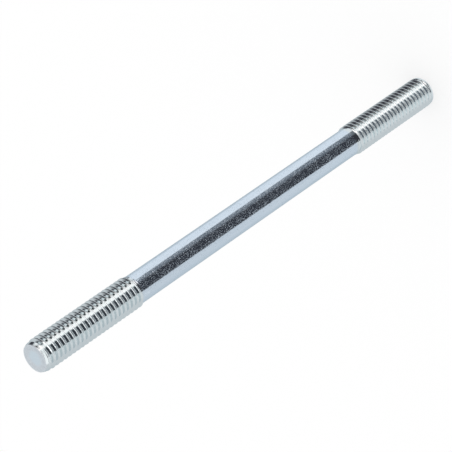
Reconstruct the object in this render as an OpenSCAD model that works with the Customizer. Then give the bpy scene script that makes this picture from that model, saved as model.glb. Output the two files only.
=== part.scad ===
// A double-ended threaded stud: a plain round shank between two right-hand threads of one size.
// It stands on one end, with +Z along its axis and the origin at the middle of the lower end.

/* [Stud] */

// Overall length, from one end rim to the other
overall_l = 105.6; // [90:0.1:130]
// Diameter of the plain shank
shank_d = 5.37; // [5.2:0.01:5.6]
// Length of the cone between a thread's run-out and the shank
cone_l = 0.3; // [0.2:0.05:1]
// How far the cone's wide end lies below the thread's crests
cone_step = 0.18; // [0.05:0.01:0.2]

/* [Threads] */

// Diameter over the crests
crest_d = 6; // [5.9:0.05:7]
// Distance from one crest to the next
pitch = 1; // [0.8:0.05:1.25]
// Length of the upper thread with its run-out
upper_thread_l = 23.1; // [12:0.1:30]
// Length of the lower thread with its run-out
lower_thread_l = 22.5; // [12:0.1:30]
// Depth of the groove as a share of the pitch
depth_share = 0.6134; // [0.54:0.0002:0.65]
// Length of the run-out, where ridge and groove fade at the shank end
fade_l = 1.5; // [0.5:0.1:2.5]
// Length of full round left between the faded groove and the cone
land_l = 0.1; // [0.08:0.01:0.2]
// Place round the axis where the upper thread starts, in degrees
upper_start = 350; // [0:5:355]
// Place round the axis where the lower thread starts, in degrees
lower_start = 80; // [0:5:355]

/* [Ends] */

// Diameter of the upper end face
upper_face_d = 5.2; // [5:0.05:5.3]
// Diameter that the upper thread rises from
upper_end_d = 5.5; // [5.4:0.05:5.7]
// Length over which the upper thread rises out of its end
upper_rise_l = 0.9; // [0.5:0.1:2]
// Diameter of the lower end face
lower_face_d = 5.7; // [5:0.05:5.7]
// Diameter that the lower thread rises from
lower_end_d = 5.85; // [5.75:0.05:5.85]
// Length over which the lower thread rises out of its end
lower_rise_l = 0.5; // [0.3:0.1:2]
// Length of the plain cone ahead of each thread
end_l = 0.5; // [0.15:0.05:0.8]
// Width of the flat rim of the end face
rim_w = 0.2; // [0.05:0.05:0.4]
// Depth of the shallow dish in the end face
dish_depth = 0.1; // [0.02:0.01:0.2]
// Diameter of the flat middle of the dish
dish_d = 3; // [1:0.1:4]

/* [Hidden] */

$fn = 96;

// how deep one solid reaches into the next
lap = 0.01;
// how far a plain round lies inside the thread that it reaches into
ledge = 0.02;
// rounding allowed when a thread edge is compared with an end plane
tiny = 0.0001;
// triangles spent on one thread
facets_each = 6200;

// edges of the ridge in a turn: crest start, crest end, root start, root end
edge_at = [0, 2 / 16, 7 / 16, 11 / 16];
edges = len(edge_at);
longest = ceil(max(upper_thread_l, lower_thread_l) / pitch);
columns = 16 * max(1, min(3, floor(facets_each / (2 * edges * 16 * longest))));
shank_r = shank_d / 2;
crest_r = crest_d / 2;
root_r = crest_r - depth_share * pitch;
edge_r = [crest_r, crest_r, root_r, root_r];
fade_r = crest_r - cone_step;
lower_cone_at = end_l + lower_thread_l;
upper_cone_at = overall_l - end_l - upper_thread_l;

// radius of a plain round that reaches into a thread whose own end has radius r
function inside(r) = r * cos(180 / columns) - ledge;

// height of thread edge i at column j, from the thread's own start
function edge_z(i, j) = pitch * (floor(i / edges) - 1 + edge_at[i % edges] + j / columns);

function share(z, from, to) = max(0, min(1, (z - from) / (to - from)));

// the ridge rises out of the plain end at the start, and fades out with the groove at the shank
function edge_radius(i, z, length, foot_r, rise_l) =
    let (raised = foot_r + share(z, 0, rise_l) * (edge_r[i % edges] - foot_r))
    raised + share(z, length - land_l - fade_l, length - land_l) * (fade_r - raised);

function edge_point(i, j, length, foot_r, rise_l) =
    let (z = max(0, min(length, edge_z(i, j))))
    let (r = edge_radius(i, z, length, foot_r, rise_l), a = 360 * j / columns)
    [r * cos(a), r * sin(a), z];

// number of the point for edge i at column j, with the edges beyond an end plane gathered on it
function at(i, j, rows, length) =
    let (col = j % columns, row = min(rows - 1, i + (j < columns ? 0 : edges)), z = edge_z(row, col))
    col * rows + (z <= tiny ? 0 : z >= length - tiny ? rows - 1 : row);

function is_face(f) = f[0] != f[1] && f[1] != f[2] && f[2] != f[0];

module thread(length, foot_r, rise_l) {
    rows = edges * (ceil(length / pitch) + 2);
    points = [for (j = [0:columns - 1], i = [0:rows - 1]) edge_point(i, j, length, foot_r, rise_l)];
    sides = [
        for (j = [0:columns - 1], i = [0:rows - 2])
            let (a = at(i, j, rows, length), b = at(i, j + 1, rows, length))
            let (c = at(i + 1, j + 1, rows, length), d = at(i + 1, j, rows, length))
            each [[a, c, b], [a, d, c]]
    ];
    start = [for (j = [0:columns - 1]) at(0, j, rows, length)];
    stop = [for (j = [columns - 1:-1:0]) at(rows - 1, j, rows, length)];
    polyhedron(points, concat([for (f = sides) if (is_face(f)) f], [start, stop]), convexity = 10);
}

// the plain end: a shallow dish, a flat rim and a short cone
module plain_end(face_r, end_r)
    rotate_extrude()
        polygon([
            [0, dish_depth],
            [dish_d / 2, dish_depth],
            [face_r - rim_w, 0],
            [face_r, 0],
            [end_r, end_l],
            [end_r, end_l + lap],
            [0, end_l + lap],
        ]);

module threaded_end(face_d, end_d, length, rise_l, start) {
    plain_end(face_d / 2, inside(end_d / 2));
    translate([0, 0, end_l])
        rotate([0, 0, start])
            thread(length, end_d / 2, rise_l);
}

module shank()
    rotate_extrude()
        polygon([
            [0, lower_cone_at - lap],
            [inside(fade_r), lower_cone_at - lap],
            [inside(fade_r), lower_cone_at],
            [shank_r, lower_cone_at + cone_l],
            [shank_r, upper_cone_at - cone_l],
            [inside(fade_r), upper_cone_at],
            [inside(fade_r), upper_cone_at + lap],
            [0, upper_cone_at + lap],
        ]);

module stud()
    color([0.75, 0.78, 0.8]) {
        threaded_end(lower_face_d, lower_end_d, lower_thread_l, lower_rise_l, lower_start);
        shank();
        translate([0, 0, overall_l])
            rotate([180, 0, 0])
                threaded_end(upper_face_d, upper_end_d, upper_thread_l, upper_rise_l, upper_start);
    }

stud();
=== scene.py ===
"""A zinc-plated double-ended stud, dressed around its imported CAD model."""

import math

import bpy
from mathutils import Matrix, Vector, noise


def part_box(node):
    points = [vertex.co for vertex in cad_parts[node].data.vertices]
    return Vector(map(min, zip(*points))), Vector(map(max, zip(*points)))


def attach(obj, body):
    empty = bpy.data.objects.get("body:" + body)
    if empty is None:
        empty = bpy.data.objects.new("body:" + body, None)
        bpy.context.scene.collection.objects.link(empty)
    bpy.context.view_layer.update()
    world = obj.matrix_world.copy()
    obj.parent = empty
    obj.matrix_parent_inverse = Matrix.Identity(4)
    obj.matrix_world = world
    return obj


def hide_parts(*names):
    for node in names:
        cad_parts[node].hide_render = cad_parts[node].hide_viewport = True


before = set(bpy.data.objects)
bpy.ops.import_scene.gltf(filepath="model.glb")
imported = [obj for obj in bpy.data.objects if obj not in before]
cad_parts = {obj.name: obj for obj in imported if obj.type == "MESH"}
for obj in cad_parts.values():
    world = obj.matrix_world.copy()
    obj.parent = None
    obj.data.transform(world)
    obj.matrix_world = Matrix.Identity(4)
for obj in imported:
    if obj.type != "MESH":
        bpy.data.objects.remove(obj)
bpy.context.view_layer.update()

MM = 0.001

# sizes of the stud in millimetres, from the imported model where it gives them
low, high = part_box("stud")
CREST_R = (high.x - low.x) / 2 / MM
OVERALL = high.z / MM
PITCH = 1.0
SHANK_R = 2.685
ROOT_DEPTH = 0.6134 * PITCH
CREST_FLAT = PITCH / 8
FLANK_SLOPE = math.sqrt(3)
END_L = 0.5
EDGE_ROUND = 0.05
RIM_W = 0.2
DISH_DEPTH = 0.1
DISH_R = 1.5

# where the groove sinks in, measured from the end face
GROOVE_RISE = (0.5, 1.2)
# where ridge and groove fade, measured back from the end of the run-out
RIDGE_FADE = (0.0, 0.9)
GROOVE_FADE = (0.6, 1.1)

# roundings of the crest's and the root's corners
CREST_SOFT = 0.06
ROOT_SOFT = 0.05

# how far rolling left the surface uneven, where this sets in, and how fast it changes across and along the stud
UNEVEN = 0.008
UNEVEN_RISE = (0, 1)
COARSE_ACROSS, COARSE_ALONG = 1.1, 0.9
FINE_ACROSS, FINE_ALONG = 2.7, 2.3
FINE_SHARE = 0.5
FINE_OFFSET = 40

# columns round the stud, rings along the shank, and steps across a dish, an edge and an end's cone
COLUMNS = 96
SHANK_RINGS = 40
DISH_STEPS = 6
EDGE_STEPS = 4
CONE_STEPS = 6
# places of the rings on the dish's flat middle, and how deep its edge lies, so that it is rounded
FLAT_RINGS = (0.5, 0.85)
DISH_EDGE = 0.97

# places of the helical rows in half a pitch, from a crest's middle, closer together at the corners
HALF_ROWS = (0.0, 0.04, 0.065, 0.09, 0.13, 0.22, 0.31, 0.385, 0.415, 0.44)
PHASES = sorted((*HALF_ROWS, 0.5, *(1 - p for p in HALF_ROWS[1:])))
TINY = 1e-6


def share(x, start, stop):
    return max(0.0, min(1.0, (x - start) / (stop - start)))


def smooth_share(x, start, stop):
    t = share(x, start, stop)
    return t * t * (3 - 2 * t)


def soft_max(a, b, width):
    """The larger of two numbers, with a rounded corner of that width between them."""
    gap = a - b
    return (a + b + math.sqrt(gap * gap + width * width)) / 2


def ridge_depth(phase):
    """How far the rolled profile lies below the crest at this share of a pitch from the crest's middle."""
    from_middle = abs((phase + 0.5) % 1.0 - 0.5) * PITCH
    flank = (from_middle - CREST_FLAT / 2) * FLANK_SLOPE
    return ROOT_DEPTH - soft_max(ROOT_DEPTH - soft_max(flank, 0, CREST_SOFT), 0, ROOT_SOFT)


def unevenness(x, y, z):
    """A small, smoothly changing height over the rolled surface, in millimetres."""
    coarse = noise.noise(Vector((x * COARSE_ACROSS, y * COARSE_ACROSS, z * COARSE_ALONG)))
    fine = noise.noise(Vector((x * FINE_ACROSS + FINE_OFFSET, y * FINE_ACROSS, z * FINE_ALONG)))
    return UNEVEN * (coarse + FINE_SHARE * fine)


class Thread:
    """The thread on one end of the stud, measured from that end's face."""

    def __init__(self, face_r, rise_l, length, start, turned):
        """face_r is the face's radius and rise_l the length over which the crests rise. The helix starts at the
        angle start, in degrees, and length counts its run-out. The upper end is the lower one turned over."""
        self.face_r, self.rise_l = face_r, rise_l
        self.length, self.start, self.turned = length, start, turned

    def place(self, x, y, z):
        return (x, -y, OVERALL - z) if self.turned else (x, y, z)

    def crest_radius(self, z):
        """Radius over the crests at this distance from the face, on a cone that rounds off into the thread."""
        left = 1 - share(z, 0, self.rise_l)
        return self.face_r + (CREST_R - self.face_r) * (1 - left * left)

    def radius(self, phase, z):
        """Radius at this distance from the thread's own start. The groove runs out just before the ridge."""
        depth = ridge_depth(phase) * smooth_share(END_L + z, *GROOVE_RISE)
        over_shank = self.crest_radius(END_L + z) - depth - SHANK_R
        fade = RIDGE_FADE if over_shank > 0 else GROOVE_FADE
        return SHANK_R + over_shank * smooth_share(self.length - z, *fade)

    def point(self, phase, z, angle):
        """The point of the uneven surface at this distance from the thread's own start."""
        across, up = math.cos(angle), math.sin(angle)
        r = self.radius(phase, z)
        r += unevenness(*self.place(r * across, r * up, END_L + z)) * share(z, *UNEVEN_RISE)
        return self.place(r * across, r * up, END_L + z)


UPPER = Thread(face_r=2.58, rise_l=1.95, length=23.3, start=352.5, turned=True)
LOWER = Thread(face_r=2.85, rise_l=1.2, length=22.5, start=82.5, turned=False)


class Builder:
    """Collects points in millimetres and faces, and makes one mesh object of them."""

    def __init__(self):
        self.points = []
        self.faces = []

    def add(self, x, y, z):
        self.points.append((x * MM, y * MM, z * MM))
        return len(self.points) - 1

    def ring(self, radius, z, place):
        spots = []
        for j in range(COLUMNS):
            a = 2 * math.pi * j / COLUMNS
            spots.append(self.add(*place(radius * math.cos(a), radius * math.sin(a), z)))
        return spots

    def face(self, corners):
        kept = []
        for c in corners:
            if c not in kept:
                kept.append(c)
        if len(kept) > 2:
            self.faces.append(kept)

    def bridge(self, below, above):
        for j in range(COLUMNS):
            n = (j + 1) % COLUMNS
            self.face([below[j], below[n], above[n], above[j]])

    def thread(self, start, stop, thread):
        """The helical rows of one thread, cut off at its first and its last ring."""
        rows = len(PHASES) * (math.ceil(thread.length / PITCH) + 2)
        first = round(thread.start / 360 * COLUMNS)
        spots = []
        for j in range(COLUMNS):
            column = []
            for i in range(rows):
                phase = PHASES[i % len(PHASES)]
                z = PITCH * (i // len(PHASES) - 1 + phase + (j - first) % COLUMNS / COLUMNS)
                if z <= TINY:
                    column.append(start[j])
                elif z >= thread.length - TINY:
                    column.append(stop[j])
                else:
                    column.append(self.add(*thread.point(phase, z, 2 * math.pi * j / COLUMNS)))
            spots.append(column)
        for j in range(COLUMNS):
            n = (j + 1) % COLUMNS
            here, other = spots[j], spots[n]
            if n == first % COLUMNS:
                other = other[len(PHASES):] + [stop[n]] * len(PHASES)
            for i in range(rows - 1):
                self.face([here[i], other[i], other[i + 1], here[i + 1]])

    def end(self, thread):
        """One end of the stud: dished face, rounded edge and thread. Returns the thread's last ring."""
        slope_r = thread.face_r - EDGE_ROUND - RIM_W
        rings = [(DISH_R * place, DISH_DEPTH) for place in FLAT_RINGS]
        rings.append((DISH_R, DISH_DEPTH * DISH_EDGE))
        for n in range(1, DISH_STEPS):
            t = n / DISH_STEPS
            rings.append((DISH_R + (slope_r - DISH_R) * t, DISH_DEPTH * (1 - smooth_share(t, 0, 1))))
        rings += [(slope_r, 0.0), (slope_r + RIM_W, 0.0)]
        edge_r = thread.crest_radius(EDGE_ROUND)
        for n in range(1, EDGE_STEPS + 1):
            a = math.pi / 2 * n / EDGE_STEPS
            rings.append((edge_r - EDGE_ROUND * (1 - math.sin(a)), EDGE_ROUND * (1 - math.cos(a))))
        for n in range(1, CONE_STEPS):
            z = EDGE_ROUND + (END_L - EDGE_ROUND) * n / CONE_STEPS
            rings.append((thread.crest_radius(z), z))
        rings.append((thread.crest_radius(END_L), END_L))

        centre = self.add(*thread.place(0, 0, DISH_DEPTH))
        last = self.ring(*rings[0], thread.place)
        for j in range(COLUMNS):
            self.face([centre, last[(j + 1) % COLUMNS], last[j]])
        for radius, z in rings[1:]:
            here = self.ring(radius, z, thread.place)
            self.bridge(last, here)
            last = here
        stop = self.ring(SHANK_R, END_L + thread.length, thread.place)
        self.thread(last, stop, thread)
        return stop

    def shank(self, below, above):
        """The plain shank between the two threads' last rings."""
        bottom, top = END_L + LOWER.length, OVERALL - END_L - UPPER.length
        last = below
        for n in range(1, SHANK_RINGS):
            here = self.ring(SHANK_R, bottom + (top - bottom) * n / SHANK_RINGS, LOWER.place)
            self.bridge(last, here)
            last = here
        self.bridge(last, above)

    def make(self, name):
        mesh = bpy.data.meshes.new(name)
        mesh.from_pydata(self.points, [], self.faces)
        mesh.validate()
        mesh.update()
        mesh.shade_smooth()
        obj = bpy.data.objects.new(name, mesh)
        bpy.context.scene.collection.objects.link(obj)
        return obj


builder = Builder()
lower_stop = builder.end(LOWER)
upper_stop = builder.end(UPPER)
builder.shank(lower_stop, [upper_stop[-j % COLUMNS] for j in range(COLUMNS)])
stud = builder.make("stud_body")


class Graph:
    """Adds shader nodes to one tree. Sockets and plain numbers can both be given as inputs."""

    def __init__(self, tree):
        self.tree = tree

    def node(self, kind, settings=None, inputs=None):
        node = self.tree.nodes.new(kind)
        for name, value in (settings or {}).items():
            setattr(node, name, value)
        for name, value in (inputs or {}).items():
            if isinstance(value, bpy.types.NodeSocket):
                self.tree.links.new(value, node.inputs[name])
            else:
                node.inputs[name].default_value = value
        return node

    def math(self, operation, a, b=0.0):
        return self.node("ShaderNodeMath", {"operation": operation}, {0: a, 1: b}).outputs[0]

    def vector(self, operation, a, b=(0, 0, 0)):
        return self.node("ShaderNodeVectorMath", {"operation": operation}, {0: a, 1: tuple(b)}).outputs

    def dot(self, a, direction):
        return self.vector("DOT_PRODUCT", a, direction)["Value"]

    def stretch(self, place, x, y, z):
        return self.vector("MULTIPLY", place, (x, y, z))["Vector"]

    def ramp(self, value, start, stop, low=0.0, high=1.0):
        inputs = {"Value": value, "From Min": start, "From Max": stop, "To Min": low, "To Max": high}
        return self.node("ShaderNodeMapRange", {"interpolation_type": "SMOOTHSTEP"}, inputs).outputs["Result"]

    def noise(self, place, scale, detail):
        inputs = {"Vector": place, "Scale": scale, "Detail": detail}
        return self.node("ShaderNodeTexNoise", {}, inputs).outputs[0]

    def mix(self, share_of_b, a, b):
        return self.node("ShaderNodeMix", {"data_type": "FLOAT"}, {0: share_of_b, 2: a, 3: b}).outputs[0]

    def mix_colour(self, share_of_b, a, b):
        """A colour between two others, each a socket or a red, green and blue value."""
        a, b = ((*c, 1) if isinstance(c, tuple) else c for c in (a, b))
        return self.node("ShaderNodeMix", {"data_type": "RGBA"}, {0: share_of_b, 6: a, 7: b}).outputs[2]


# colours of the plating, as pairs that a soft pattern moves between, and the one colour of the faces' middle;
# the faces' ring is made greyer with painted shade
THREAD_ZINC = ((0.775, 0.835, 0.85), (0.805, 0.855, 0.87))
SHANK_ZINC = ((0.74, 0.835, 0.932), (0.772, 0.86, 0.95))
# the ring's pair is greyer than the faces' middle: painted shade of the dish's sloping wall and rim, over a
# mottled plating tone
RING_ZINC_AND_SHADE = ((0.80, 0.83, 0.86), (0.87, 0.905, 0.94))
CORE_ZINC = (0.835, 0.92, 0.98)
EDGE_TINT = (0.8, 0.86, 0.9)

# where one zone gives way to the next, as distances from the nearer end, and across a face from its middle
FACE_TO_CONE = (0.11, 0.14)
CONE_TO_THREAD = (0.7, 1.4)
THREAD_TO_SHANK = (23.1, 23.6)
# across a face: where the middle gives way to the ring of painted shade
CORE_TO_SHADED_RING = (1.0, 1.7)

THREAD_ROUGH = 0.05
SHANK_ROUGH = 0.06
CONE_ROUGH = 0.11
FACE_ROUGH = 0.3
GRAIN_ROUGH = 0.04
SPECK_ROUGH = 0.12
RELIEF = 0.006


def zinc_material():
    """Bright zinc: bluish on the drawn shank, greener on the rolled threads, matt on the cut ends."""
    mat = bpy.data.materials.new("zinc")
    mat.use_nodes = True
    graph = Graph(mat.node_tree)
    metres = graph.node("ShaderNodeTexCoord").outputs["Object"]
    place = graph.stretch(metres, 1 / MM, 1 / MM, 1 / MM)
    height_up = graph.node("ShaderNodeSeparateXYZ", {}, {0: place}).outputs["Z"]
    from_middle = graph.math("ABSOLUTE", graph.math("SUBTRACT", height_up, OVERALL / 2))
    to_end = graph.math("SUBTRACT", OVERALL / 2, from_middle)
    off_axis = graph.vector("LENGTH", graph.stretch(place, 1, 1, 0))["Value"]

    on_face = graph.ramp(to_end, *FACE_TO_CONE, 1.0, 0.0)
    on_cone = graph.ramp(to_end, *CONE_TO_THREAD, 1.0, 0.0)
    on_shank = graph.ramp(to_end, *THREAD_TO_SHANK)

    # patterns, in cycles a millimetre: clouds, streaks along the shank, grain and specks
    clouds = graph.ramp(graph.noise(place, 0.7, 3.0), 0.3, 0.7)
    streaks = graph.noise(graph.stretch(place, 3.0, 3.0, 0.12), 1.0, 3.0)
    grain = graph.noise(place, 5.0, 2.0)
    specks = graph.ramp(graph.noise(place, 7.5, 1.0), 0.58, 0.72)

    # colour: clouds on the threads, streaks on the shank, and on the faces a greyer ring with an uneven edge,
    # which is painted shade of the dish's sloping wall and rim over a mottled plating tone
    thread_zinc = graph.mix_colour(clouds, *THREAD_ZINC)
    shank_zinc = graph.mix_colour(graph.ramp(streaks, 0.35, 0.65), *SHANK_ZINC)
    wobble = graph.math("MULTIPLY", graph.math("SUBTRACT", graph.noise(place, 1.3, 2.0), 0.5), 0.7)
    on_shaded_ring = graph.ramp(graph.math("ADD", off_axis, wobble), *CORE_TO_SHADED_RING)
    ring_zinc_and_shade = graph.mix_colour(graph.ramp(graph.noise(place, 2.2, 3.0), 0.3, 0.7), *RING_ZINC_AND_SHADE)
    face_zinc_and_shade = graph.mix_colour(on_shaded_ring, CORE_ZINC, ring_zinc_and_shade)
    colour = graph.mix_colour(on_shank, thread_zinc, shank_zinc)
    colour = graph.mix_colour(on_face, colour, face_zinc_and_shade)

    # polish: fine grain everywhere, matt specks on the shank, duller cones and faces
    rough = graph.mix(on_shank, THREAD_ROUGH, SHANK_ROUGH)
    rough = graph.mix(on_cone, rough, CONE_ROUGH)
    rough = graph.mix(on_face, rough, FACE_ROUGH)
    rough = graph.math("ADD", rough, graph.math("MULTIPLY", grain, GRAIN_ROUGH))
    shank_specks = graph.math("MULTIPLY", specks, on_shank)
    rough = graph.math("ADD", rough, graph.math("MULTIPLY", shank_specks, SPECK_ROUGH))

    # relief: grain, specks and drawing marks a few thousandths of a millimetre high
    pits = graph.math("MULTIPLY", specks, graph.mix(on_shank, 0.3, graph.mix(clouds, 1.2, 2.6)))
    height = graph.math("ADD", graph.math("MULTIPLY", grain, graph.mix(on_shank, 0.5, 0.8)), pits)
    height = graph.math("ADD", height, graph.math("MULTIPLY", streaks, 0.5))
    bump = graph.node("ShaderNodeBump", {}, {"Strength": 1.0, "Distance": RELIEF * MM, "Height": height})

    shader = mat.node_tree.nodes["Principled BSDF"]
    link = mat.node_tree.links.new
    link(colour, shader.inputs["Base Color"])
    link(rough, shader.inputs["Roughness"])
    link(bump.outputs["Normal"], shader.inputs["Normal"])
    shader.inputs["Metallic"].default_value = 1.0
    shader.inputs["Specular Tint"].default_value = (*EDGE_TINT, 1)
    return mat


stud.data.materials.append(zinc_material())
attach(stud, "root")
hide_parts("stud")

# a white light table: part of its white is its own light, the rest shows the stud's soft shadow
FLOOR_HALF = 1.5
OWN_LIGHT = 0.6


def floor_material():
    mat = bpy.data.materials.new("floor")
    mat.use_nodes = True
    inputs = mat.node_tree.nodes["Principled BSDF"].inputs
    inputs["Base Color"].default_value = (1 - OWN_LIGHT, 1 - OWN_LIGHT, 1 - OWN_LIGHT, 1)
    inputs["Roughness"].default_value = 1
    inputs["Specular IOR Level"].default_value = 0
    inputs["Emission Color"].default_value = (1, 1, 1, 1)
    inputs["Emission Strength"].default_value = OWN_LIGHT
    return mat


floor_mesh = bpy.data.meshes.new("floor")
corners = [(x * FLOOR_HALF, y * FLOOR_HALF, 0) for x, y in ((-1, -1), (1, -1), (1, 1), (-1, 1))]
floor_mesh.from_pydata(corners, [], [(0, 1, 2, 3)])
floor_mesh.materials.append(floor_material())
floor = bpy.data.objects.new("floor", floor_mesh)
bpy.context.scene.collection.objects.link(floor)
# the metal mirrors the world's cards in place of the floor
floor.visible_glossy = False


# keeps the directions behind a card off it
LEAST_AHEAD = 0.0001


class Card:
    """A lamp or a flag far off round the stud, which only the metal's reflections show."""

    def __init__(self, toward, half, light, roll=0, soft=0.1, soft_right=None):
        """toward is the azimuth, from the camera's side toward +X, and the elevation, both in degrees. half is
        half the width and half the height, at distance 1. light is one value, or red, green and blue. soft is
        the width over which an edge fades, and the right edge can have its own."""
        a, e, r = (math.radians(angle) for angle in (*toward, roll))
        self.middle = Vector((math.cos(e) * math.sin(a), -math.cos(e) * math.cos(a), math.sin(e)))
        right = Vector((math.cos(a), math.sin(a), 0))
        up = right.cross(self.middle)
        if up.z < 0:
            up = -up
        self.right = math.cos(r) * right + math.sin(r) * up
        self.up = -math.sin(r) * right + math.cos(r) * up
        self.half_width, self.half_height = half
        self.soft, self.soft_right = soft, soft if soft_right is None else soft_right
        self.light = light if isinstance(light, tuple) else (light, light, light)

    def over(self, graph, direction, under):
        """The light from each direction, with this card laid over what was there."""
        ahead = graph.math("MAXIMUM", graph.dot(direction, self.middle), LEAST_AHEAD)
        across = graph.math("DIVIDE", graph.dot(direction, self.right), ahead)
        along = graph.math("ABSOLUTE", graph.math("DIVIDE", graph.dot(direction, self.up), ahead))
        left, right, half = self.soft / 2, self.soft_right / 2, self.half_width
        sides = graph.math(
            "MULTIPLY",
            graph.ramp(across, -half - left, -half + left),
            graph.ramp(across, half - right, half + right, 1.0, 0.0),
        )
        ends = graph.ramp(along, self.half_height - left, self.half_height + left, 1.0, 0.0)
        return graph.mix_colour(graph.math("MULTIPLY", sides, ends), under, self.light)


# what the metal mirrors: a white room, paler toward the underside, with these cards laid over it in turn
ROOM = (0.645, 0.672, 0.692)
UNDERSIDE = (0.88, 0.91, 0.925)
ROOM_TO_UNDERSIDE = (-0.5, -1.0)

# pale walls low down, for the edges and the lower half of shank and threads
back_wall = Card((180, -30), (1.0, 1.0), (0.63, 0.66, 0.675), soft=1.0)
low_right = Card((85, -38), (0.6, 0.5), (0.85, 0.872, 0.895), soft=0.3)
low_side = Card((75, -5), (0.17, 0.13), (1.0, 1.0, 1.0), soft=0.06)
low_left = Card((-90, -26), (1.0, 0.08), (0.78, 0.8, 0.81), soft=0.06)

# lamps in front, for the bright band along the threads
tall_lamp = Card((40, 5), (0.27, 0.95), (1.48, 1.37, 1.33), roll=-9, soft=0.07)
high_lamp = Card((8, 59), (0.28, 0.3), (1.85, 1.72, 1.68), roll=13, soft=0.14)

# flags in front, for the shank's dark band and the threads' dark stripes
half_shade = Card((14, -45), (0.62, 0.34), (0.175, 0.193, 0.215), roll=-10, soft=0.12)
front_flag = Card((-12, -6), (0.57, 1.0), (0.04, 0.042, 0.05), soft=0.04, soft_right=0.3)
far_shade = Card((-10, -10), (0.52, 0.16), (0.13, 0.137, 0.165))
low_strip = Card((-30, 4), (1.4, 0.17), (1.05, 1.07, 1.07))
low_flag = Card((14, -45), (0.15, 0.34), (0.04, 0.042, 0.05), roll=-10, soft=0.08, soft_right=0.4)

# a flag at the side with lamps in it, for the threads' dark zone toward the upper edge
side_flag = Card((103, 23), (0.335, 1.0), (0.05, 0.05, 0.062), roll=13, soft=0.12, soft_right=0.4)
flank_lamp = Card((84, 60), (0.12, 0.12), 0.2)
rear_lamp = Card((102, 74), (0.14, 0.12), (1.5, 1.45, 1.45))

# small flags, for the second row of dark marks and for the near end's cone
narrow_flag = Card((58.5, -13.5), (0.165, 0.11), 0.0, soft=0.06)
cone_shade = Card((42, 7), (0.16, 0.08), 0.66, soft=0.06)
rim_flag = Card((66, 10.5), (0.27, 0.14), 0.03, soft=0.06)

# overhead, for the flanks that face up
high_card = Card((-58, 61), (0.67, 0.43), (0.73, 0.75, 0.765), roll=13, soft=0.33)
high_flag = Card((-40, 71), (0.14, 0.14), 0.25, soft=0.14)
top_lamp = Card((-90, 85), (0.19, 0.19), (2.3, 2.25, 2.25), soft=0.12)

CARDS = (
    back_wall,
    low_right,
    low_side,
    low_left,
    tall_lamp,
    high_lamp,
    half_shade,
    front_flag,
    far_shade,
    low_strip,
    low_flag,
    side_flag,
    flank_lamp,
    rear_lamp,
    narrow_flag,
    cone_shade,
    rim_flag,
    high_card,
    high_flag,
    top_lamp,
)

world = bpy.data.worlds.new("studio")
bpy.context.scene.world = world
world.use_nodes = True
graph = Graph(world.node_tree)
direction = graph.node("ShaderNodeTexCoord").outputs["Generated"]
upward = graph.dot(direction, (0, 0, 1))
light = graph.mix_colour(graph.ramp(upward, *ROOM_TO_UNDERSIDE), ROOM, UNDERSIDE)
for card in CARDS:
    light = card.over(graph, direction, light)
# everything but the metal's reflections sees plain white
glossy = graph.node("ShaderNodeLightPath").outputs["Is Glossy Ray"]
light = graph.mix_colour(glossy, (1, 1, 1), light)
background = world.node_tree.nodes["Background"]
world.node_tree.links.new(light, background.inputs["Color"])

# the camera, fitted to the photograph's outlines
AIM = Vector((0.00007, 0, 0.0577))
DISTANCE = 0.38336
ELEVATION = math.radians(37.606)
ROLL = math.radians(-124.636)
LENS = 172.99
SENSOR_WIDTH = 36
NEAREST, FARTHEST = 0.01, 10
cam_data = bpy.data.cameras.new("camera")
cam_data.lens = LENS
cam_data.sensor_width = SENSOR_WIDTH
cam_data.clip_start, cam_data.clip_end = NEAREST, FARTHEST
cam = bpy.data.objects.new("camera", cam_data)
bpy.context.scene.collection.objects.link(cam)
back = Vector((0, -math.cos(ELEVATION), math.sin(ELEVATION)))
turn = (-back).to_track_quat("-Z", "Y").to_matrix() @ Matrix.Rotation(ROLL, 3, "Z")
cam.matrix_world = Matrix.Translation(AIM + back * DISTANCE) @ turn.to_4x4()
bpy.context.scene.camera = cam

bpy.context.scene.view_settings.view_transform = "Standard"
